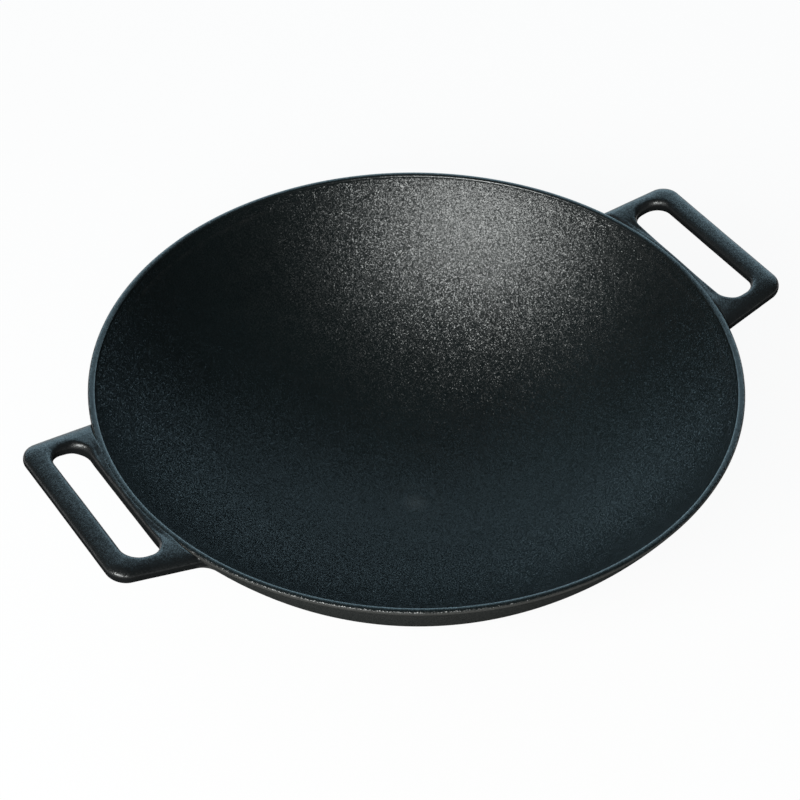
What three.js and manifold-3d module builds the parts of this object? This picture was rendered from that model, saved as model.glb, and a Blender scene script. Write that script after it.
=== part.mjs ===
// A cast-iron grill wok: a deep round dish with a rim lip, a foot ring under it,
// and two slotted loop handles that stand out from the rim and tilt up.
// Millimetres, +Z up. The origin is on the standing surface under the middle of the dish,
// and the handles lie along X.
import * as THREE from 'three';
import { mergeVertices } from 'three/addons/utils/BufferGeometryUtils.js';
import Module from 'manifold-3d';

const wasm = await Module();
wasm.setup();

// Dish
const rimDiameter = 356;
const rimWidth = 3.2; // across the top of the rim, from the inside edge to the outside edge
const rimInnerRound = 1.4;
const rimOuterRound = 1.5;
const lipHeight = 6; // height of the edge band above the dish
const bowlDepth = 103; // from the top of the rim to the inside of the dish's floor
const floorThickness = 4.6;

// Foot ring
const footDiameter = 116;
const footWidth = 8;
const footHeight = 2.5; // free height under the middle of the dish

// Handles
const handleTilt = 9.64; // degrees above level
const handleDrop = 3.1; // middle of the handle's thickness below the top of the rim
const handleThickness = 9.4;
const handleEdgeRound = 4.5;
const handleCorner = 10;
const webWidth = 1.7; // least width of the web between the rim and the slot
const slotWidth = 20.7;
const slotLength = 91.4;
const slotCorner = 9.1;
const slotEdgeRound = 2.7;
const gripWidth = 13.1; // of the bar outside the slot
const armWidth = 9.3; // beside the slot, at the grip bar
const armFlare = 5; // how much wider an arm gets by the time it meets the rim

// Finishes, by eye: the dish and foot are a dull black, the rim and handles a little paler and smoother
const dishFinish = { color: '#22292c', roughness: 0.6, metalness: 0.4 };
const rimFinish = { color: '#3a4348', roughness: 0.45, metalness: 0.4 };
const footFinish = { color: '#24292a', roughness: 0.65, metalness: 0.4 };
const handleFinish = { color: '#333b3f', roughness: 0.5, metalness: 0.4 };

// Fine divisions
const seam = 0.3; // clear gap between neighbouring solids
const turnSteps = 96; // facets round the dish
const wallSteps = 12; // facets along the dish's wall, inside and outside
const roundSteps = 3; // facets along a rounded edge
const cornerSteps = 5; // facets along a rounded corner

// Worked out from the sizes above
const rimRadius = rimDiameter / 2;
const rimInnerRadius = rimRadius - rimWidth;
const outerRound = Math.min(rimOuterRound, rimWidth / 2, lipHeight / 2);
const innerRound = Math.min(rimInnerRound, rimWidth / 2, lipHeight / 2);
const undersideHeight = footHeight;
const insideFloorHeight = undersideHeight + floorThickness;
const rimTop = insideFloorHeight + bowlDepth;
const lipSeat = rimTop - lipHeight;
const footRadius = footDiameter / 2;
const footInnerRadius = footRadius - footWidth;
const slotStart = webWidth;
const slotEnd = slotStart + slotWidth;
const slotEndRadius = Math.min(slotCorner, slotWidth / 2, slotLength / 2);
const handleReach = slotEnd + gripWidth;
const handleEndWidth = slotLength + 2 * armWidth;
const handleRootWidth = handleEndWidth + 2 * armFlare;
const handleRound = Math.min(handleEdgeRound, handleThickness / 2 - seam);
const slotRound = Math.min(slotEdgeRound, handleThickness / 2 - seam);
const handleTiltAngle = THREE.MathUtils.degToRad(handleTilt);
const rightAngle = Math.PI / 2;

// The dish is part of a hollow ball: this gives the ball that stands on a height and passes through a point.
function ballThrough(bottom, radius, height) {
  const rise = height - bottom;
  const ballRadius = (radius * radius + rise * rise) / (2 * rise);
  return { radius: ballRadius, centre: bottom + ballRadius };
}

const insideBall = ballThrough(insideFloorHeight, rimInnerRadius, rimTop);
const outsideBall = ballThrough(undersideHeight, rimRadius, rimTop - outerRound);

function ballRadiusAt(ball, height) {
  const drop = ball.centre - height;
  return Math.sqrt(ball.radius * ball.radius - drop * drop);
}

function ballHeightAt(ball, radius) {
  return ball.centre - Math.sqrt(ball.radius * ball.radius - radius * radius);
}

// Points on the ball's wall from its lowest point up to a height, as radius and height.
function ballWall(ball, height) {
  const widest = Math.asin(ballRadiusAt(ball, height) / ball.radius);
  const points = [];
  for (let step = 0; step <= wallSteps; step += 1) {
    const angle = (widest * step) / wallSteps;
    points.push([ball.radius * Math.sin(angle), ball.centre - ball.radius * Math.cos(angle)]);
  }
  return points;
}

// Points on a quarter round about a centre, between two angles.
function roundEdge(centreRadius, centreHeight, size, from, to) {
  const points = [];
  for (let step = 0; step <= roundSteps; step += 1) {
    const angle = from + ((to - from) * step) / roundSteps;
    points.push([centreRadius + size * Math.cos(angle), centreHeight + size * Math.sin(angle)]);
  }
  return points;
}

// A profile of radius and height, turned about the Z axis.
function turned(profile) {
  const points = profile.map(([radius, height]) => new THREE.Vector2(radius, height));
  const geometry = new THREE.LatheGeometry(points, turnSteps);
  geometry.rotateX(rightAngle);
  return geometry;
}

// Merges shared corners and drops the flat triangles at the poles of turned shapes.
function closed(geometry) {
  const bare = geometry.clone();
  bare.deleteAttribute('normal');
  bare.deleteAttribute('uv');
  const merged = mergeVertices(bare);
  const corners = merged.index.array;
  const kept = [];
  for (let at = 0; at < corners.length; at += 3) {
    const [a, b, c] = [corners[at], corners[at + 1], corners[at + 2]];
    if (a !== b && b !== c && c !== a) {
      kept.push(a, b, c);
    }
  }
  merged.setIndex(kept);
  return merged;
}

function solidOf(geometry) {
  const merged = closed(geometry);
  const mesh = new wasm.Mesh({
    numProp: 3,
    vertProperties: new Float32Array(merged.attributes.position.array),
    triVerts: new Uint32Array(merged.index.array),
  });
  return new wasm.Manifold(mesh);
}

function geometryOf(solid) {
  const mesh = solid.getMesh();
  const geometry = new THREE.BufferGeometry();
  geometry.setAttribute('position', new THREE.BufferAttribute(mesh.vertProperties, 3));
  geometry.setIndex(new THREE.BufferAttribute(mesh.triVerts, 1));
  geometry.computeVertexNormals();
  return geometry;
}

function piece(name, geometry, finish) {
  const mesh = new THREE.Mesh(geometry, new THREE.MeshStandardMaterial(finish));
  mesh.name = name;
  return mesh;
}

// The dish: an even shell, a little thicker at the floor, with a level seat for the lip.
function dish() {
  const outside = ballWall(outsideBall, lipSeat);
  const inside = ballWall(insideBall, lipSeat);
  return turned([...outside, ...inside.reverse()]);
}

// The edge band: the wall runs on up to a narrow top between an inner and an outer round.
function lip() {
  const outerFoot = [ballRadiusAt(outsideBall, lipSeat), lipSeat];
  const innerFoot = [ballRadiusAt(insideBall, lipSeat), lipSeat];
  const outerCentre = rimRadius - outerRound;
  const innerCentre = rimInnerRadius + innerRound;
  const outerEdge = roundEdge(outerCentre, rimTop - outerRound, outerRound, 0, rightAngle);
  const innerEdge = roundEdge(innerCentre, rimTop - innerRound, innerRound, rightAngle, Math.PI);
  return turned([outerFoot, ...outerEdge, ...innerEdge, innerFoot, outerFoot]);
}

// The foot: a square-edged ring whose top follows the underside of the dish.
function foot() {
  const topAt = (radius) => ballHeightAt(outsideBall, radius) - seam;
  return turned([
    [footInnerRadius, 0],
    [footRadius, 0],
    [footRadius, topAt(footRadius)],
    [footInnerRadius, topAt(footInnerRadius)],
    [footInnerRadius, 0],
  ]);
}

// A handle is drawn flat: x runs outward from the rim's outline, y along the rim, z through the thickness.
// Its sides taper outward, its outer corners are round, and it starts inside the dish, which cuts it to fit.
function handleOutline() {
  const rootHalf = handleRootWidth / 2;
  const endHalf = handleEndWidth / 2;
  const rootX = Math.sqrt(rimRadius * rimRadius - rootHalf * rootHalf) - rimRadius;
  const taper = Math.atan2(rootHalf - endHalf, handleReach - rootX);
  const startX = rootX - 2 * handleThickness;
  const startHalf = rootHalf + (rootX - startX) * Math.tan(taper);
  const cornerX = handleReach - handleCorner;
  const cornerY = endHalf + handleCorner * (Math.tan(taper) - 1 / Math.cos(taper));
  const outline = new THREE.Shape();
  outline.moveTo(startX, startHalf);
  outline.lineTo(startX, -startHalf);
  outline.absarc(cornerX, -cornerY, handleCorner, taper - rightAngle, 0, false);
  outline.absarc(cornerX, cornerY, handleCorner, 0, rightAngle - taper, false);
  return outline;
}

function slotOutline(grow) {
  const near = slotStart + slotEndRadius;
  const far = slotEnd - slotEndRadius;
  const side = slotLength / 2 - slotEndRadius;
  const corners = [[far, -side, -rightAngle], [far, side, 0], [near, side, rightAngle], [near, -side, Math.PI]];
  const outline = new THREE.Shape();
  for (const [x, y, start] of corners) {
    outline.absarc(x, y, slotEndRadius + grow, start, start + rightAngle, false);
  }
  return outline;
}

function roundedPlate(outline) {
  const depth = handleThickness - 2 * handleRound;
  const geometry = new THREE.ExtrudeGeometry(outline, {
    depth,
    curveSegments: cornerSteps,
    bevelEnabled: true,
    bevelThickness: handleRound,
    bevelSize: handleRound,
    bevelOffset: -handleRound,
    bevelSegments: roundSteps,
  });
  geometry.translate(0, 0, -depth / 2);
  return geometry;
}

// A straight cutter through the handle's whole thickness and beyond.
function throughCut(outline) {
  const depth = 2 * handleThickness;
  const options = { depth, curveSegments: cornerSteps, bevelEnabled: false };
  const geometry = new THREE.ExtrudeGeometry(outline, options);
  geometry.translate(0, 0, -depth / 2);
  return geometry;
}

// The slot's cutter. It widens towards both faces in convex slices, which leaves the slot with rounded edges.
function slotCutter() {
  const half = handleThickness / 2;
  const ring = (grow, height) => slotOutline(grow).getPoints(cornerSteps).map(({ x, y }) => [x, y, height]);
  let cutter = solidOf(throughCut(slotOutline(0)));
  for (let step = 0; step < roundSteps; step += 1) {
    const [low, high] = [step, step + 1].map((at) => {
      const angle = (rightAngle * at) / roundSteps;
      return ring(slotRound * (1 - Math.cos(angle)), half - slotRound * (1 - Math.sin(angle)));
    });
    const above = high.map(([x, y, height]) => [x, y, height + seam]);
    const slice = wasm.Manifold.hull([...low, ...high, ...above]);
    cutter = cutter.add(slice).add(slice.mirror([0, 0, 1]));
  }
  return cutter;
}

function region(corners) {
  return new THREE.Shape(corners.map(([x, y]) => new THREE.Vector2(x, y)));
}

// The handle's place on the right side of the rim.
function handleFrame() {
  const frame = new THREE.Group();
  frame.position.set(rimRadius, 0, rimTop - handleDrop);
  frame.rotation.y = -handleTiltAngle;
  frame.updateMatrix();
  return frame;
}

// The room that the dish and its lip take up, filled to above the handles, seen from the handle's own frame.
// It flares above the rim's rounded edge, which leaves a groove between the rim and the top of the handle.
function dishRoom() {
  const grow = seam / outsideBall.radius;
  const flare = handleThickness;
  const flareFoot = rimTop - outerRound;
  const top = rimTop + handleReach;
  const wall = ballWall(outsideBall, flareFoot).map(([radius, height]) => {
    return [radius * (1 + grow), height + (height - outsideBall.centre) * grow];
  });
  const edge = [rimRadius + seam, flareFoot];
  const mouth = [rimRadius + seam + flare, flareFoot + flare];
  const geometry = turned([...wall, edge, mouth, [mouth[0], top], [0, top]]);
  geometry.applyMatrix4(handleFrame().matrix.invert());
  return geometry;
}

// One loop handle, divided into its grip bar, its two arms and the web beside the rim.
// The grip bar and the arms meet in mitred corners, and the arms run on to the dish at both ends of the web.
function handleGeometries() {
  const blank = solidOf(roundedPlate(handleOutline()));
  const slotted = blank.subtract(slotCutter());
  const loop = slotted.subtract(solidOf(dishRoom()));
  const room = handleRootWidth;
  const webEnd = slotLength / 2 - slotEndRadius;
  const armEdge = webEnd + seam;
  const mitreX = slotEnd - slotEndRadius;
  const armMitreX = mitreX + seam - seam * Math.SQRT2;
  const gripOuter = [mitreX + room, webEnd + room];
  const armOuter = [armMitreX + room, armEdge + room];
  const grip = [[mitreX, -webEnd], [gripOuter[0], -gripOuter[1]], gripOuter, [mitreX, webEnd]];
  const plusArm = [[-room, armEdge], [armMitreX, armEdge], armOuter, [-room, armOuter[1]]];
  const minusArm = plusArm.map(([x, y]) => [x, -y]).reverse();
  const web = [[-room, -webEnd], [mitreX - seam, -webEnd], [mitreX - seam, webEnd], [-room, webEnd]];
  const cut = (corners) => geometryOf(loop.intersect(solidOf(throughCut(region(corners)))));
  return { grip: cut(grip), plusArm: cut(plusArm), minusArm: cut(minusArm), web: cut(web) };
}

const wok = new THREE.Group();
wok.add(piece('wok_bowl', dish(), dishFinish));
wok.add(piece('rim_lip', lip(), rimFinish));
wok.add(piece('foot_ring', foot(), footFinish));

// The right handle points along +X. The left one is the same shape turned half round, so its arms trade places.
const handleShapes = handleGeometries();
const handleSides = [
  { side: 'right', turn: 0, plusArm: 'rear', minusArm: 'front' },
  { side: 'left', turn: Math.PI, plusArm: 'front', minusArm: 'rear' },
];
for (const { side, turn, plusArm, minusArm } of handleSides) {
  const handle = handleFrame();
  handle.add(piece(`${side}_grip_bar`, handleShapes.grip, handleFinish));
  handle.add(piece(`${side}_handle_${plusArm}_arm`, handleShapes.plusArm, handleFinish));
  handle.add(piece(`${side}_handle_${minusArm}_arm`, handleShapes.minusArm, handleFinish));
  handle.add(piece(`${side}_handle_web`, handleShapes.web, handleFinish));
  const place = new THREE.Group();
  place.rotation.z = turn;
  place.add(handle);
  wok.add(place);
}

export default wok;
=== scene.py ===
import math

import bpy
import numpy as np
from mathutils import Matrix, Vector


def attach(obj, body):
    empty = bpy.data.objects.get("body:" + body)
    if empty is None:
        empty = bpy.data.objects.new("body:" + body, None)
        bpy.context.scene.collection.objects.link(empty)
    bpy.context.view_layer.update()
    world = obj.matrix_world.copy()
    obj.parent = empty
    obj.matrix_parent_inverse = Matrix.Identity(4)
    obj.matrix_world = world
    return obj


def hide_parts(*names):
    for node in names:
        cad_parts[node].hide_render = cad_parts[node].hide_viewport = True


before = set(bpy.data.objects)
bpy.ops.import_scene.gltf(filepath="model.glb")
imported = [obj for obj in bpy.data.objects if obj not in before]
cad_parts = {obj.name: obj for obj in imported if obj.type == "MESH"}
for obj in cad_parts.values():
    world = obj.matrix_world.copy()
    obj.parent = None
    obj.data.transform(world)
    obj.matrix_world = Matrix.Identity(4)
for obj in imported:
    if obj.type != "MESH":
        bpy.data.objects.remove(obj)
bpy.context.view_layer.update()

# Dish
# The bowl of the wok is one thick shell of grey cast iron, part of a hollow ball and heavier at the floor.
# The mould leaves a pebbled skin, the floor inside is turned smooth, and baked oil seasons it all black.
rim_radius = 0.178
rim_width = 0.0032
rim_top = 0.1101
nose_height = 0.0015
seat_height = 0.1041
floor_inside = 0.0071
floor_outside = 0.0025
weld_reach = 1e-6
crease_angle = math.radians(40)
rub_break = 0.004
dry_spread = 0.45
# Paler tone of the outside: partly the matt skin of the mould, partly painted reflection of the floor below.
skin_and_painted_reflection = (0.042, 0.042, 0.0405)


def node(tree, kind, inputs=None, **settings):
    """Adds a node, with its properties set and its inputs filled or linked."""
    made = tree.nodes.new(kind)
    for name, value in settings.items():
        setattr(made, name, value)
    for name, value in (inputs or {}).items():
        if isinstance(value, bpy.types.NodeSocket):
            tree.links.new(value, made.inputs[name])
        else:
            made.inputs[name].default_value = value
    return made


def maths(tree, operation, *values):
    """The result of one Math node."""
    return node(tree, "ShaderNodeMath", dict(enumerate(values)), operation=operation).outputs[0]


def vectors(tree, operation, *values):
    """The vector that one Vector Math node gives."""
    return node(tree, "ShaderNodeVectorMath", dict(enumerate(values)), operation=operation).outputs[0]


def scaled(tree, vector, share):
    """A vector made longer or shorter by a share."""
    return node(tree, "ShaderNodeVectorMath", {0: vector, "Scale": share}, operation="SCALE").outputs[0]


def fade(tree, value, start, end, ease="LINEAR"):
    """A mask that goes from 0 to 1 as a value goes from start to end."""
    spread = {"Value": value, "From Min": start, "From Max": end}
    return node(tree, "ShaderNodeMapRange", spread, interpolation_type=ease).outputs["Result"]


def node_tree(name, kind, inputs, outputs):
    """A node tree with named sockets, with what its inputs give and what its outputs take."""
    tree = bpy.data.node_groups.new(name, kind)
    for way, sockets in (("INPUT", inputs), ("OUTPUT", outputs)):
        for label, socket in sockets.items():
            tree.interface.new_socket(label, in_out=way, socket_type="NodeSocket" + socket)
    return tree, tree.nodes.new("NodeGroupInput").outputs, tree.nodes.new("NodeGroupOutput").inputs


def ball_through(bottom, radius, height):
    """Radius and centre height of the ball that stands on a height and passes through a ring."""
    rise = height - bottom
    size = (radius * radius + rise * rise) / (2 * rise)
    return size, bottom + size


def close_casting(tree, geometry, given, taken):
    """Ends a geometry tree: welds the seams, makes the wall uneven as sand does, and gives it its iron."""
    welded = node(tree, "GeometryNodeMergeByDistance", {
        "Geometry": geometry, "Distance": weld_reach,
    }).outputs[0]
    place = node(tree, "GeometryNodeInputPosition").outputs[0]
    lumps = node(tree, "ShaderNodeTexNoise", {
        "Vector": place, "W": given["Seed"], "Scale": maths(tree, "DIVIDE", 1.0, given["Lump Size"]),
        "Detail": 1.0,
    }, noise_dimensions="4D").outputs["Fac"]
    shift = maths(tree, "MULTIPLY", maths(tree, "SUBTRACT", lumps, 1.0), given["Unevenness"])
    away = vectors(tree, "NORMALIZE", vectors(tree, "SUBTRACT", place, given["Middle"]))
    offset = scaled(tree, away, shift)
    uneven = node(tree, "GeometryNodeSetPosition", {"Geometry": welded, "Offset": offset}).outputs[0]
    smooth = node(tree, "GeometryNodeSetShadeSmooth", {"Geometry": uneven}, domain="FACE").outputs[0]
    bend = node(tree, "GeometryNodeInputMeshEdgeAngle").outputs["Unsigned Angle"]
    soft = node(tree, "FunctionNodeCompare", {"A": bend, "B": crease_angle}, operation="LESS_THAN").outputs[0]
    creased = node(tree, "GeometryNodeSetShadeSmooth", {
        "Geometry": smooth, "Shade Smooth": soft,
    }, domain="EDGE").outputs[0]
    real = node(tree, "GeometryNodeRealizeInstances", {"Geometry": creased}).outputs[0]
    iron = node(tree, "GeometryNodeSetMaterial", {"Geometry": real, "Material": given["Material"]}).outputs[0]
    tree.links.new(iron, taken["Geometry"])


def cast(name, tree, values, mesh=None):
    """Runs a geometry tree on a piece with the given inputs and keeps the result as a plain mesh."""
    piece = bpy.data.objects.new(name, mesh or bpy.data.meshes.new(name))
    bpy.context.scene.collection.objects.link(piece)
    modifier = piece.modifiers.new(name, "NODES")
    modifier.node_group = tree
    for item in tree.interface.items_tree:
        if item.name in values:
            modifier[item.identifier] = values[item.name]
    state = bpy.context.evaluated_depsgraph_get()
    result = bpy.data.meshes.new_from_object(piece.evaluated_get(state), depsgraph=state)
    result.materials.clear()
    result.materials.append(values["Material"])
    result.name = name
    piece.modifiers.clear()
    piece.data = result
    return piece


casting_inputs = {
    "Middle": "Vector", "Unevenness": "Float", "Lump Size": "Float", "Seed": "Float", "Material": "Material",
}

# The dish's shape: one grid wrapped round the axis, up the outside ball and down the inside one.
dish_tree, given, taken = node_tree("dish shell", "GeometryNodeTree", {
    "Inside Radius": "Float", "Inside Centre": "Float", "Outside Radius": "Float", "Outside Centre": "Float",
    "Seat Height": "Float", "Facets": "Int", "Rows": "Int", **casting_inputs,
}, {"Geometry": "Geometry"})
grid = node(dish_tree, "GeometryNodeMeshGrid", {
    "Size X": 1.0, "Size Y": 1.0, "Vertices X": given["Facets"], "Vertices Y": given["Rows"],
}).outputs["Mesh"]
flat = node(dish_tree, "ShaderNodeSeparateXYZ", {
    "Vector": node(dish_tree, "GeometryNodeInputPosition").outputs[0],
}).outputs
turn = maths(dish_tree, "MULTIPLY", flat["X"], 2 * math.pi)
inside = maths(dish_tree, "GREATER_THAN", flat["Y"], 0.0)
seat_row = maths(dish_tree, "DIVIDE", 0.5, maths(dish_tree, "SUBTRACT", given["Rows"], 1.0))
share = fade(dish_tree, maths(dish_tree, "ABSOLUTE", flat["Y"]), 0.5, seat_row)
ball, centre = (
    node(dish_tree, "GeometryNodeSwitch", {
        "Switch": inside, "False": given["Outside " + size], "True": given["Inside " + size],
    }, input_type="FLOAT").outputs[0]
    for size in ("Radius", "Centre")
)
drop = maths(dish_tree, "DIVIDE", maths(dish_tree, "SUBTRACT", centre, given["Seat Height"]), ball)
swing = maths(dish_tree, "MULTIPLY", share, maths(dish_tree, "ARCCOSINE", drop))
reach = maths(dish_tree, "MULTIPLY", ball, maths(dish_tree, "SINE", swing))
depth = maths(dish_tree, "MULTIPLY", ball, maths(dish_tree, "COSINE", swing))
wrapped = node(dish_tree, "ShaderNodeCombineXYZ", {
    "X": maths(dish_tree, "MULTIPLY", reach, maths(dish_tree, "COSINE", turn)),
    "Y": maths(dish_tree, "MULTIPLY", reach, maths(dish_tree, "SINE", turn)),
    "Z": maths(dish_tree, "SUBTRACT", centre, depth),
}).outputs[0]
shell = node(dish_tree, "GeometryNodeSetPosition", {"Geometry": grid, "Position": wrapped}).outputs[0]
close_casting(dish_tree, shell, given, taken)

# Shared effects of the casting, each in its own node group.
grain, given, taken = node_tree("sand grain", "ShaderNodeTree", {
    "Vector": "Vector", "Normal": "Vector", "Grain Size": "Float", "Lean": "Float",
}, {"Facet": "Vector", "Lumps": "Float", "Peaks": "Float"})
fineness = maths(grain, "DIVIDE", 1.0, given["Grain Size"])
grains = node(grain, "ShaderNodeTexVoronoi", {"Vector": given["Vector"], "Scale": fineness}).outputs
lean = vectors(grain, "SUBTRACT", grains["Color"], (0.5, 0.5, 0.5))
facet = vectors(grain, "ADD", given["Normal"], scaled(grain, lean, given["Lean"]))
grain.links.new(vectors(grain, "NORMALIZE", facet), taken["Facet"])
lumps = node(grain, "ShaderNodeTexNoise", {
    "Vector": given["Vector"], "Scale": maths(grain, "MULTIPLY", fineness, 0.3), "Detail": 2.0,
}).outputs["Fac"]
grain.links.new(lumps, taken["Lumps"])
grain.links.new(fade(grain, grains["Distance"], 0.6, 0.2), taken["Peaks"])

season, given, taken = node_tree("baked oil", "ShaderNodeTree", {
    "Vector": "Vector", "Patch Size": "Float",
}, {"Patch": "Float", "Cloud": "Float"})
breadth = maths(season, "DIVIDE", 1.0, given["Patch Size"])
broad = node(season, "ShaderNodeTexNoise", {
    "Vector": given["Vector"], "Scale": breadth, "Detail": 3.0, "Distortion": 0.4,
}).outputs["Fac"]
small = node(season, "ShaderNodeTexNoise", {
    "Vector": given["Vector"], "Scale": maths(season, "MULTIPLY", breadth, 9.0), "Detail": 4.0,
    "Roughness": 0.65,
}).outputs["Fac"]
season.links.new(fade(season, broad, 0.35, 0.65), taken["Patch"])
season.links.new(fade(season, small, 0.3, 0.7), taken["Cloud"])

rub, given, taken = node_tree("rubbed edges", "ShaderNodeTree", {
    "Vector": "Vector", "Pointiness": "Float", "Break Size": "Float",
}, {"Mask": "Float"})
edge = fade(rub, given["Pointiness"], 0.505, 0.56)
broken = node(rub, "ShaderNodeTexNoise", {
    "Vector": given["Vector"], "Scale": maths(rub, "DIVIDE", 1.0, given["Break Size"]), "Detail": 3.0,
}).outputs["Fac"]
rub.links.new(maths(rub, "MULTIPLY", edge, fade(rub, broken, 0.35, 0.65)), taken["Mask"])


def group(tree, kind, inputs):
    """Uses a shared node group in a material."""
    return node(tree, "ShaderNodeGroup", inputs, node_tree=kind).outputs


def blend(tree, share, first, second):
    """A colour that goes from one to another with a mask."""
    first, second = ((*c, 1.0) if isinstance(c, tuple) else c for c in (first, second))
    return node(tree, "ShaderNodeMix", {"Factor": share, 6: first, 7: second}, data_type="RGBA").outputs[2]


def between(tree, share, low, high):
    """A value that goes from low to high with a mask."""
    return node(tree, "ShaderNodeMapRange", {"Value": share, "To Min": low, "To Max": high}).outputs["Result"]


def iron(
    name, dark, pale, bare, skin_and_painted_reflection_tone, satin, dull, shine, grain_size, lean, lump_depth, patch_size,
    bare_share, dry_below,
):
    """Seasoned cast iron: two tones of baked oil over a sandy skin, rubbed towards bare metal at the edges.
    What faces up is oiled and wiped; what faces aside or down is matt, and blends towards a paler tone that
    is partly the mould's skin and partly painted reflection."""
    made = bpy.data.materials.new(name)
    made.use_nodes = True
    tree = made.node_tree
    surface = tree.nodes["Principled BSDF"]
    coordinates = node(tree, "ShaderNodeTexCoord").outputs
    place = coordinates["Object"]
    solid = node(tree, "ShaderNodeNewGeometry").outputs
    skin = group(tree, grain, {
        "Vector": place, "Normal": solid["Normal"], "Grain Size": grain_size, "Lean": lean,
    })
    oil = group(tree, season, {"Vector": place, "Patch Size": patch_size})
    worn = group(tree, rub, {
        "Vector": place, "Pointiness": solid["Pointiness"], "Break Size": rub_break,
    })["Mask"]
    facing = node(tree, "ShaderNodeSeparateXYZ", {"Vector": coordinates["Normal"]}).outputs["Z"]
    wiped = fade(tree, facing, dry_below, dry_below + dry_spread, "SMOOTHSTEP")
    dry_and_painted_reflection_mask = maths(tree, "SUBTRACT", 1.0, wiped)

    tone = blend(tree, oil["Patch"], dark, pale)
    tone = blend(tree, maths(tree, "MULTIPLY", oil["Cloud"], 0.35), tone, dark)
    tone = blend(tree, maths(tree, "MULTIPLY", worn, bare_share), tone, bare)
    # Faces that look aside or down blend towards a paler tone, most on the grain peaks: partly matt skin,
    # partly painted reflection.
    skin_and_painted_reflection_share = maths(tree, "MULTIPLY", dry_and_painted_reflection_mask, between(tree, skin["Peaks"], 0.35, 0.95))
    tree.links.new(blend(tree, skin_and_painted_reflection_share, tone, skin_and_painted_reflection_tone), surface.inputs["Base Color"])

    rough = between(tree, oil["Cloud"], satin, dull)
    rough = maths(tree, "MULTIPLY_ADD", skin["Peaks"], -0.04, rough)
    tree.links.new(maths(tree, "MULTIPLY_ADD", dry_and_painted_reflection_mask, 0.3, rough), surface.inputs["Roughness"])
    polish = maths(tree, "MULTIPLY", between(tree, skin["Peaks"], 0.8, 1.1), shine)
    tree.links.new(maths(tree, "MULTIPLY", polish, wiped), surface.inputs["Specular IOR Level"])
    bumps = node(tree, "ShaderNodeBump", {
        "Distance": lump_depth, "Height": skin["Lumps"], "Normal": skin["Facet"],
    }).outputs[0]
    tree.links.new(bumps, surface.inputs["Normal"])
    return made


def overlay(material, socket, share, value):
    """Blends a value or colour over what feeds one input of a material's shader."""
    tree = material.node_tree
    taking = tree.nodes["Principled BSDF"].inputs[socket]
    mix = blend if isinstance(value, tuple) else between
    tree.links.new(mix(tree, share, taking.links[0].from_socket, value), taking)


def axis_distance(tree):
    """How far each place on a piece is from the wok's axis."""
    place = node(tree, "ShaderNodeTexCoord").outputs["Object"]
    level = vectors(tree, "MULTIPLY", place, (1.0, 1.0, 0.0))
    return node(tree, "ShaderNodeVectorMath", {0: level}, operation="LENGTH").outputs["Value"]


# The dish's outside takes the paler outer tone, partly painted reflection.
dish_look = dict(
    dark=(0.002, 0.004, 0.0044), pale=(0.003, 0.006, 0.0066), bare=(0.03, 0.03, 0.03), skin_and_painted_reflection_tone=skin_and_painted_reflection,
    satin=0.32, dull=0.38, shine=0.75, grain_size=0.00042, lean=0.45, lump_depth=0.00006, patch_size=0.07,
    bare_share=0.2, dry_below=-0.3,
)
dish_iron = iron("dish iron", **dish_look)

# The turning marks on the floor: uneven rings about the axis, and a small pale spot where the tool stopped.
ring_spacing = 0.009
rings_clear, rings_end = 0.02, 0.075
spot_radius = 0.009
turned_tone = (0.04, 0.048, 0.052)
tree = dish_iron.node_tree
from_axis = axis_distance(tree)
rings = node(tree, "ShaderNodeTexNoise", {
    "W": maths(tree, "DIVIDE", from_axis, ring_spacing), "Scale": 1.0, "Detail": 2.0,
}, noise_dimensions="1D").outputs["Fac"]
rings = maths(tree, "MULTIPLY", fade(tree, from_axis, rings_end, rings_clear), fade(tree, rings, 0.5, 0.75))
spot = fade(tree, from_axis, spot_radius, 0.0)
marks = maths(tree, "MAXIMUM", maths(tree, "MULTIPLY", rings, 0.12), maths(tree, "MULTIPLY", spot, 0.55))
overlay(dish_iron, "Base Color", marks, turned_tone)

inside_ball = ball_through(floor_inside, rim_radius - rim_width, rim_top)
outside_ball = ball_through(floor_outside, rim_radius, rim_top - nose_height)
casting_middle = (0.0, 0.0, outside_ball[1])
wall_skin = {"Unevenness": 0.0001, "Lump Size": 0.045, "Seed": 3.0}
dish = cast("dish", dish_tree, {
    "Inside Radius": inside_ball[0], "Inside Centre": inside_ball[1],
    "Outside Radius": outside_ball[0], "Outside Centre": outside_ball[1],
    "Seat Height": seat_height, "Facets": 289, "Rows": 160,
    "Middle": casting_middle, "Material": dish_iron, **wall_skin,
})
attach(dish, "root")
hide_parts("wok_bowl")

# Rim
# The edge of the dish, cast with it: the wall runs up into a rounded nose.
# The mould parts along it, so it is ground over by hand, which leaves it smoother and paler than the dish.
nose_steps = 28
nose_fullness = 2.3
wall_rows = 6
turned_facets = 288
ground_start, ground_full = 0.0015, 0.0004
shoulder_inner, shoulder_outer = 0.0014, 0.0009
parting_inner, parting_outer = 0.0007, 0.0002


def ball_reach(ball, height):
    """How far out the wall of a ball is at a height."""
    return math.sqrt(ball[0] ** 2 - (ball[1] - height) ** 2)


# A closed profile turned round the axis.
turned_tree, given, taken = node_tree("turned profile", "GeometryNodeTree", {
    "Geometry": "Geometry", "Path Radius": "Float", "Facets": "Int", **casting_inputs,
}, {"Geometry": "Geometry"})
profile = node(turned_tree, "GeometryNodeMeshToCurve", {"Mesh": given["Geometry"]}).outputs[0]
path = node(turned_tree, "GeometryNodeCurvePrimitiveCircle", {
    "Radius": given["Path Radius"], "Resolution": given["Facets"],
}).outputs[0]
ring = node(turned_tree, "GeometryNodeCurveToMesh", {"Curve": path, "Profile Curve": profile}).outputs[0]
close_casting(turned_tree, ring, given, taken)


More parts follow.
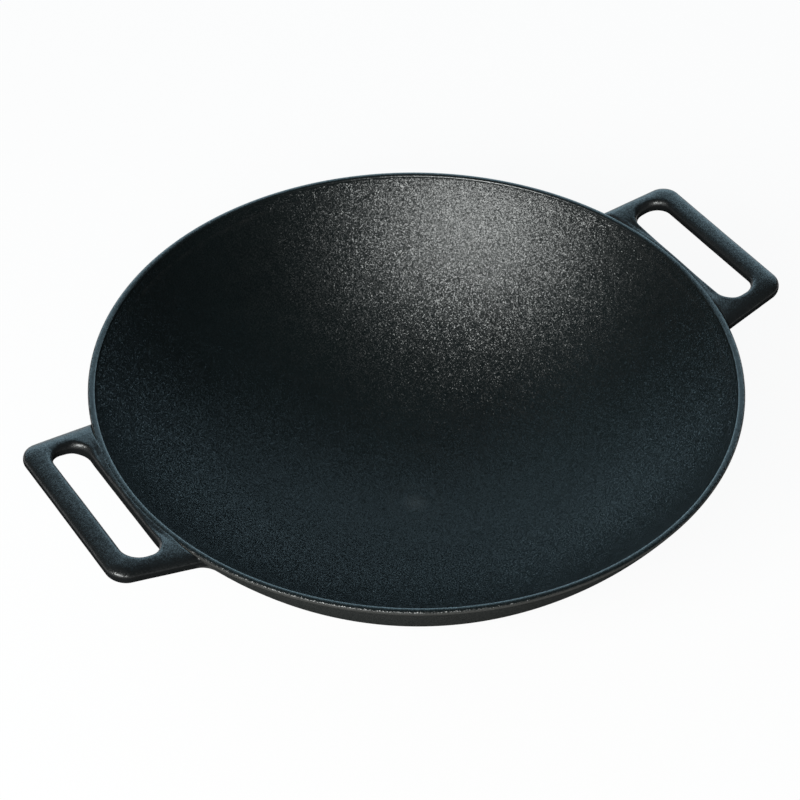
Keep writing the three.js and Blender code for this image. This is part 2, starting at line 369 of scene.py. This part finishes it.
def turned(name, points, path_radius, values):
    """Turns a closed profile of radius and height points round the axis."""
    mesh = bpy.data.meshes.new(name)
    count = len(points)
    sides = [(i, (i + 1) % count) for i in range(count)]
    mesh.from_pydata([(r - path_radius, -z, 0.0) for r, z in points], sides, [])
    return cast(name, turned_tree, {
        "Path Radius": path_radius, "Facets": turned_facets, "Middle": casting_middle, **values,
    }, mesh)


nose_level = rim_top - nose_height
heights = [seat_height + (nose_level - seat_height) * i / wall_rows for i in range(wall_rows)]
inner_reach = ball_reach(inside_ball, nose_level)
nose_half = (rim_radius - inner_reach) / 2
angles = [math.pi * i / nose_steps for i in range(nose_steps + 1)]


def nose_point(angle):
    """A point over the nose, whose top is flatter and whose edges are fuller than an ellipse's."""
    across, rise = math.cos(angle), math.sin(angle)
    reach = math.copysign(abs(across) ** (2 / nose_fullness), across)
    return inner_reach + nose_half * (1 + reach), nose_level + nose_height * abs(rise) ** (2 / nose_fullness)


rim_profile = [
    *((ball_reach(outside_ball, z), z) for z in heights),
    *(nose_point(a) for a in angles),
    *((ball_reach(inside_ball, z), z) for z in reversed(heights)),
]

# The ground top is smooth, its outer shoulder keeps the grain, and the parting line outside is matt, with no
# shine and the paler outer tone, partly painted reflection.
rim_iron = iron("rim iron", **dish_look)
tree = rim_iron.node_tree
level = node(tree, "ShaderNodeSeparateXYZ", {
    "Vector": node(tree, "ShaderNodeTexCoord").outputs["Object"],
}).outputs["Z"]
ground = fade(tree, level, rim_top - ground_start, rim_top - ground_full, "SMOOTHSTEP")
overlay(rim_iron, "Roughness", ground, 0.32)
overlay(rim_iron, "Specular IOR Level", ground, 1.0)
from_axis = axis_distance(tree)
# The parting band loses its shine and takes the paler outer tone, partly painted reflection.
parting_and_painted_reflection = fade(tree, from_axis, rim_radius - parting_inner, rim_radius - parting_outer)
overlay(rim_iron, "Specular IOR Level", parting_and_painted_reflection, 0.0)
overlay(rim_iron, "Base Color", parting_and_painted_reflection, skin_and_painted_reflection)
smooth_top = fade(tree, from_axis, rim_radius - shoulder_outer, rim_radius - shoulder_inner)
skin = next(n for n in tree.nodes if n.type == "GROUP" and n.node_tree == grain)
tree.links.new(between(tree, maths(tree, "MULTIPLY", ground, smooth_top), 0.5, 0.15), skin.inputs["Lean"])
rim = turned("rim", rim_profile, rim_radius, {"Material": rim_iron, **wall_skin})
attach(rim, "root")
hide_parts("rim_lip")

# Foot ring
# The low ring that the wok stands on, cast in one with the underside of the dish.
# Its sides lean a little so that it lifts out of the mould, and its lower edges are rubbed by grates.
foot_outer = 0.058
foot_width = 0.008
foot_round = 0.0012
foot_lean = 0.0006
foot_sunk = 0.002
foot_fillet = 0.004
foot_steps = 6
foot_arc = [math.pi / 2 * i / foot_steps for i in range(foot_steps + 1)]


def underside(radius):
    """Height of the dish's underside at a radius."""
    return outside_ball[1] - math.sqrt(outside_ball[0] ** 2 - radius * radius)


foot_inner = foot_outer - foot_width
lower_edge = [(foot_round * (1 - math.sin(a)), foot_round * (1 - math.cos(a))) for a in foot_arc]
foot_profile = [
    *((foot_inner + inset, z) for inset, z in reversed(lower_edge)),
    *((foot_outer - inset, z) for inset, z in lower_edge),
    (foot_outer - foot_lean, underside(foot_outer) - foot_fillet),
    *((foot_outer - foot_lean + foot_fillet * (1 - math.cos(a)),
       underside(foot_outer + foot_fillet) - foot_fillet * (1 - math.sin(a))) for a in foot_arc),
    (foot_outer, underside(foot_outer) + foot_sunk),
    (foot_inner, underside(foot_inner) + foot_sunk),
]
# Its faces that look down take the paler outer tone, partly painted reflection.
foot_iron = iron(
    "foot iron", dark=(0.011, 0.0115, 0.012), pale=(0.017, 0.0175, 0.018), bare=(0.09, 0.088, 0.085),
    skin_and_painted_reflection_tone=skin_and_painted_reflection, satin=0.48, dull=0.62, shine=0.4, grain_size=0.0005, lean=0.55, lump_depth=0.0001,
    patch_size=0.03, bare_share=0.6, dry_below=-0.3,
)
foot = turned("foot", foot_profile, foot_outer, {
    "Unevenness": 0.00006, "Lump Size": 0.03, "Seed": 5.0, "Material": foot_iron,
})
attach(foot, "root")
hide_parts("foot_ring")

# Right handle
# A flat loop with a finger slot, cast in one with the dish and tilted up from just below the rim.
# Its edges are rounded for the hand, fillets join it to the dish wall, and the rim widens into its web.
tilt = math.radians(9.64)
handle_drop = 0.0031
half_thick = 0.0047
handle_reach = 0.0355
end_half = 0.055
root_half = 0.060
corner = 0.010
slot_near, slot_far, slot_half, slot_corner = 0.0017, 0.0224, 0.0457, 0.0091
crown = 0.016
edge_fullness = 2.4
slot_crown = 0.005
slot_fullness = 2.0
slot_blend = 0.001
web_crown = 0.0015
web_fall = math.radians(15)
web_start = 0.1768
web_half, web_clear_half = 0.056, 0.032
web_edge_near, web_edge_far = 0.003, 0.008
web_lift = 0.0004
web_blend = 0.0025
web_release, web_width = 0.6, 0.003
arm_lift = 0.005
groove_round = 0.0012
groove_lift = 0.002
groove_blend = 0.0005
fillet = 0.0042
fillet_top, fillet_low = 0.001, -0.0025
rim_blend = 0.0004
nose_gap = 0.0003
sunk = 0.002
root_spread = 0.006
hidden = 0.00002
cell = 0.0006
handle_low, handle_high = (-0.0312, -0.0732, -0.0192), (0.0372, 0.0732, 0.0084)


def soft_min(a, b, size):
    """The lesser of two fields, blended over a size."""
    share = np.clip(0.5 + 0.5 * (b - a) / size, 0, 1)
    return b + (a - b) * share - size * share * (1 - share)


def soft_max(a, b, size):
    """The greater of two fields, blended over a size."""
    return -soft_min(-a, -b, size)


def smooth_step(start, end, value):
    """Goes from 0 to 1 between two values, easing at both."""
    share = np.clip((value - start) / (end - start), 0, 1)
    return share * share * (3 - 2 * share)


def rounded(distance, height, crown_size, fullness):
    """A plate's edge: its field at a distance in from the outline, with faces rounded over a crown."""
    over = np.maximum(1 - distance / crown_size, 0)
    return ((over**fullness + np.abs(height / half_thick) ** fullness) ** (1 / fullness) - 1) * half_thick


def handle_field(p):
    """Below zero inside the handle. p is in the handle's own frame: out from the rim, along it, and up."""
    x, y, z = p[..., 0], p[..., 1], p[..., 2]
    root_x = math.sqrt(rim_radius**2 - root_half**2) - rim_radius
    lean = math.atan2(root_half - end_half, handle_reach - root_x)
    to_end = handle_reach - x
    to_side = (end_half + to_end * math.tan(lean) - np.abs(y)) * math.cos(lean)
    to_outline = corner - np.hypot(np.maximum(corner - to_end, 0), np.maximum(corner - to_side, 0))
    along = np.abs(x - (slot_near + slot_far) / 2) - (slot_far - slot_near) / 2 + slot_corner
    across = np.abs(y) - slot_half + slot_corner
    to_slot = np.hypot(np.maximum(along, 0), np.maximum(across, 0)) - slot_corner
    to_slot = to_slot + np.minimum(np.maximum(along, across), 0)
    on_web = smooth_step(web_half, web_clear_half, np.abs(y))
    web_edge = on_web * smooth_step(web_edge_far, web_edge_near, x)

    outer = rounded(to_outline, z, np.where(z > 0, crown, half_thick), edge_fullness)
    inner = rounded(to_slot, z, slot_crown + (web_crown - slot_crown) * web_edge, slot_fullness)
    plate = soft_max(outer, inner, slot_blend)

    out = rim_radius + x * math.cos(tilt) - z * math.sin(tilt)
    up = rim_top - handle_drop + x * math.sin(tilt) + z * math.cos(tilt)
    past_rim = np.hypot(out, y) - web_start
    slope = (up - rim_top) * math.cos(web_fall) + past_rim * math.sin(web_fall)
    slope = slope - web_lift - arm_lift * (1 - on_web) - web_release * np.maximum(past_rim - web_width, 0)
    wall = np.sqrt(out**2 + y**2 + (up - outside_ball[1]) ** 2) - outside_ball[0]
    over_edge = np.maximum(z - half_thick + groove_round, 0)
    groove = np.hypot(np.maximum(groove_round - wall, 0), over_edge) - groove_round
    loop = soft_max(plate, groove - groove_lift * on_web, groove_blend)
    loop = soft_max(loop, slope, web_blend)

    dish_solid = np.maximum(wall, up - nose_level + nose_gap)
    blend_size = rim_blend + fillet * smooth_step(fillet_top, fillet_low, z)
    joined = soft_min(loop, dish_solid, blend_size) + hidden
    beyond = np.maximum(-to_outline, np.abs(z) - half_thick) - root_spread
    return np.maximum(np.maximum(joined, -wall - sunk), beyond)


def skin_of(field, low, high, step):
    """Quads over the zero level of a field: one corner in each cell that it crosses, drawn onto it."""
    counts = [int(round((b - a) / step)) + 1 for a, b in zip(low, high)]
    axes = [a + step * np.arange(n) for a, n in zip(low, counts)]
    values = field(np.stack(np.meshgrid(*axes, indexing="ij"), -1))
    cells = [n - 1 for n in counts]
    corners = [(i, j, k) for i in (0, 1) for j in (0, 1) for k in (0, 1)]
    at = {c: values[c[0]:c[0] + cells[0], c[1]:c[1] + cells[1], c[2]:c[2] + cells[2]] for c in corners}
    filled = sum((at[c] < 0).astype(int) for c in corners)
    crossed = (filled > 0) & (filled < len(corners))
    number = np.full(cells, -1)
    number[crossed] = np.arange(crossed.sum())
    total, hits = np.zeros((crossed.sum(), 3)), np.zeros((crossed.sum(), 1))
    for axis in range(3):
        for c in corners:
            if c[axis] == 0:
                end = tuple(v + (n == axis) for n, v in enumerate(c))
                a, b = at[c][crossed], at[end][crossed]
                change = (a < 0) != (b < 0)
                spot = np.tile(np.array(c, float), (len(a), 1))
                spot[:, axis] += np.where(change, a / np.where(change, a - b, 1), 0)
                total += spot * change[:, None]
                hits += change[:, None]
    points = np.array(low) + step * (np.argwhere(crossed) + total / hits)

    nudges = step / 20 * np.eye(3)
    settle_passes, least_steep = 4, 0.2
    for _ in range(settle_passes):
        slope = np.stack([(field(points + n) - field(points - n)) / (2 * n.sum()) for n in nudges], -1)
        steep = np.maximum((slope**2).sum(-1), least_steep)
        points -= np.clip(field(points) / steep, -step / 2, step / 2)[:, None] * slope

    quads = []
    for axis in range(3):
        u, v = np.eye(3, dtype=int)[(axis + 1) % 3], np.eye(3, dtype=int)[(axis + 2) % 3]
        lower = np.take(values, range(counts[axis] - 1), axis) < 0
        upper = np.take(values, range(1, counts[axis]), axis) < 0
        for way, edges in ((1, lower & ~upper), (-1, upper & ~lower)):
            c = np.argwhere(edges)
            quads.append(np.stack([number[tuple(q.T)] for q in (c - u - v, c - v, c, c - u)[::way]], -1))
    return points, np.concatenate(quads)


handle_points, handle_quads = skin_of(handle_field, handle_low, handle_high, cell)
handle_frame = Matrix.Translation((rim_radius, 0, rim_top - handle_drop)) @ Matrix.Rotation(-tilt, 4, "Y")

# The skin of a hand-rammed mould, over a mesh that is already in shape.
skin_tree, given, taken = node_tree("cast skin", "GeometryNodeTree", {
    "Geometry": "Geometry", **casting_inputs,
}, {"Geometry": "Geometry"})
close_casting(skin_tree, given["Geometry"], given, taken)
# Its flanks and underside blend towards a paler tone, partly matt skin and partly painted reflection.
handle_iron = iron(
    "handle iron", dark=(0.004, 0.005, 0.0055), pale=(0.007, 0.0085, 0.0092), bare=(0.05, 0.05, 0.05),
    skin_and_painted_reflection_tone=(0.011, 0.011, 0.0112), satin=0.34, dull=0.4, shine=0.7, grain_size=0.0005, lean=0.2,
    lump_depth=0.0001, patch_size=0.035, bare_share=0.25, dry_below=0.2,
)

# Where the fillets below run into the dish wall, the iron takes the paler tone of that wall, partly painted
# reflection.
wall_far, wall_near = 0.005, 0.0005
wall_share = 0.72
tree = handle_iron.node_tree
coordinates = node(tree, "ShaderNodeTexCoord").outputs
from_middle = node(tree, "ShaderNodeVectorMath", {
    0: coordinates["Object"], 1: casting_middle,
}, operation="DISTANCE").outputs["Value"]
at_wall = fade(tree, from_middle, outside_ball[0] + wall_far, outside_ball[0] + wall_near, "SMOOTHSTEP")
facing = node(tree, "ShaderNodeSeparateXYZ", {"Vector": coordinates["Normal"]}).outputs["Z"]
wall_painted_reflection_share = maths(tree, "MULTIPLY", at_wall, fade(tree, facing, 0.1, -0.2))
overlay(handle_iron, "Base Color", maths(tree, "MULTIPLY", wall_painted_reflection_share, wall_share), skin_and_painted_reflection)
grip_out, grip_up = 0.19, 0.11


def handle(name, turn, seed):
    """One loop handle, turned about the axis to its side."""
    mesh = bpy.data.meshes.new(name)
    mesh.from_pydata(handle_points.tolist(), [], handle_quads.tolist())
    mesh.transform(Matrix.Rotation(turn, 4, "Z") @ handle_frame)
    return cast(name, skin_tree, {
        "Middle": (math.cos(turn) * grip_out, math.sin(turn) * grip_out, grip_up),
        "Unevenness": 0.0002, "Lump Size": 0.012, "Seed": seed, "Material": handle_iron,
    }, mesh)


right_handle = handle("right_handle", 0.0, 1.0)
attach(right_handle, "root")
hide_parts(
    "right_handle_web", "right_handle_front_arm", "right_handle_rear_arm", "right_grip_bar",
)

# Left handle
# The same loop on the other side of the rim, from the other half of the pattern.
# Its skin differs a little, as no two sides of a casting are alike.
left_handle = handle("left_handle", math.pi, 2.0)
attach(left_handle, "root")
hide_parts("left_handle_web", "left_handle_front_arm", "left_handle_rear_arm", "left_grip_bar")

# Floor
# A seamless sheet of matt white board, wide enough to fill the picture from every side.
# The camera and the reflections see it white, and it keeps the wok's soft shadow.
floor_half = 6.0
glow_share = 0.93
floor_mesh = bpy.data.meshes.new("floor")
floor_corners = [(x * floor_half, y * floor_half, 0) for x, y in ((-1, -1), (1, -1), (1, 1), (-1, 1))]
floor_mesh.from_pydata(floor_corners, [], [(0, 1, 2, 3)])
floor = bpy.data.objects.new("floor", floor_mesh)
bpy.context.scene.collection.objects.link(floor)
board = bpy.data.materials.new("white board")
board.use_nodes = True
tree = board.node_tree
tree.nodes.clear()
fibre = node(tree, "ShaderNodeTexNoise", {
    "Vector": node(tree, "ShaderNodeTexCoord").outputs["Object"], "Scale": 60.0, "Detail": 4.0,
}).outputs["Fac"]
paper = node(tree, "ShaderNodeBsdfDiffuse", {
    "Color": blend(tree, fibre, (0.9, 0.9, 0.9), (0.94, 0.94, 0.94)),
}).outputs[0]
glow = node(tree, "ShaderNodeEmission", {"Color": (1.0, 1.0, 1.0, 1.0), "Strength": 1.0}).outputs[0]
path = node(tree, "ShaderNodeLightPath").outputs
reflected = maths(tree, "MAXIMUM", path["Is Glossy Ray"], path["Is Transmission Ray"])
seen = maths(tree, "MAXIMUM", path["Is Camera Ray"], reflected)
lit = node(tree, "ShaderNodeMixShader", {
    0: maths(tree, "MULTIPLY", seen, glow_share), 1: paper, 2: glow,
}).outputs[0]
node(tree, "ShaderNodeOutputMaterial", {"Surface": lit})
floor_mesh.materials.append(board)

# Lights
# A softbox to the left of the camera for the bright patch on the far wall.
# Two cool panels stand behind, one above the other, and the lower one is the brighter.
view_azimuth = math.radians(-33.4623)
lamp_distance = 2.0
panel_tint = (0.56, 0.84, 1.0)


def softbox(name, azimuth, elevation, width, height, power, colour):
    """An area lamp that faces the dish. Azimuth is from the camera's right, round towards the back."""
    lamp = bpy.data.lights.new(name, "AREA")
    lamp.shape = "RECTANGLE"
    lamp.size, lamp.size_y = width, height
    lamp.energy = power
    lamp.color = colour
    side = math.radians(azimuth) + view_azimuth
    rise = math.radians(elevation)
    away = Vector((math.cos(side) * math.cos(rise), math.sin(side) * math.cos(rise), math.sin(rise)))
    holder = bpy.data.objects.new(name, lamp)
    holder.location = away * lamp_distance + Vector((0, 0, rim_top))
    holder.rotation_mode = "QUATERNION"
    holder.rotation_quaternion = away.to_track_quat("Z", "Y")
    bpy.context.scene.collection.objects.link(holder)


softbox("key", azimuth=-112, elevation=34, width=1.4, height=0.7, power=58.0, colour=(0.97, 1.0, 0.98))
softbox("low back", azimuth=92, elevation=13, width=3.6, height=0.66, power=19.0, colour=panel_tint)
softbox("high back", azimuth=92, elevation=34.5, width=3.6, height=0.86, power=9.2, colour=panel_tint)

world = bpy.data.worlds.new("studio")
world.use_nodes = True
air = world.node_tree.nodes["Background"].inputs
air["Color"].default_value = (0.9, 0.95, 1.0, 1.0)
air["Strength"].default_value = 0.02
bpy.context.scene.world = world

# Camera
# A long lens above and in front of the wok, aimed so that the rim lies in the picture as photographed.
# The three small turns move the wok from the middle of the picture to its place.
camera_distance = 1.2824
camera_elevation = math.radians(41.883)
camera_aside, camera_nod, camera_roll = (math.radians(angle) for angle in (0.392, -0.741, 0.699))
camera_data = bpy.data.cameras.new("camera")
camera_data.sensor_width = 36.0
camera_data.lens = 106.13
camera_data.clip_start, camera_data.clip_end = 0.05, 50.0
camera = bpy.data.objects.new("camera", camera_data)
away = Vector((
    math.sin(view_azimuth) * math.cos(camera_elevation), -math.cos(view_azimuth) * math.cos(camera_elevation),
    math.sin(camera_elevation),
))
aim = Matrix.Rotation(view_azimuth, 4, "Z") @ Matrix.Rotation(math.pi / 2 - camera_elevation, 4, "X")
aim = aim @ Matrix.Rotation(camera_aside, 4, "Y") @ Matrix.Rotation(camera_nod, 4, "X")
aim = aim @ Matrix.Rotation(camera_roll, 4, "Z")
camera.matrix_world = Matrix.Translation(away * camera_distance + Vector((0, 0, rim_top))) @ aim
bpy.context.scene.collection.objects.link(camera)
bpy.context.scene.camera = camera
bpy.context.scene.view_settings.view_transform = "Standard"
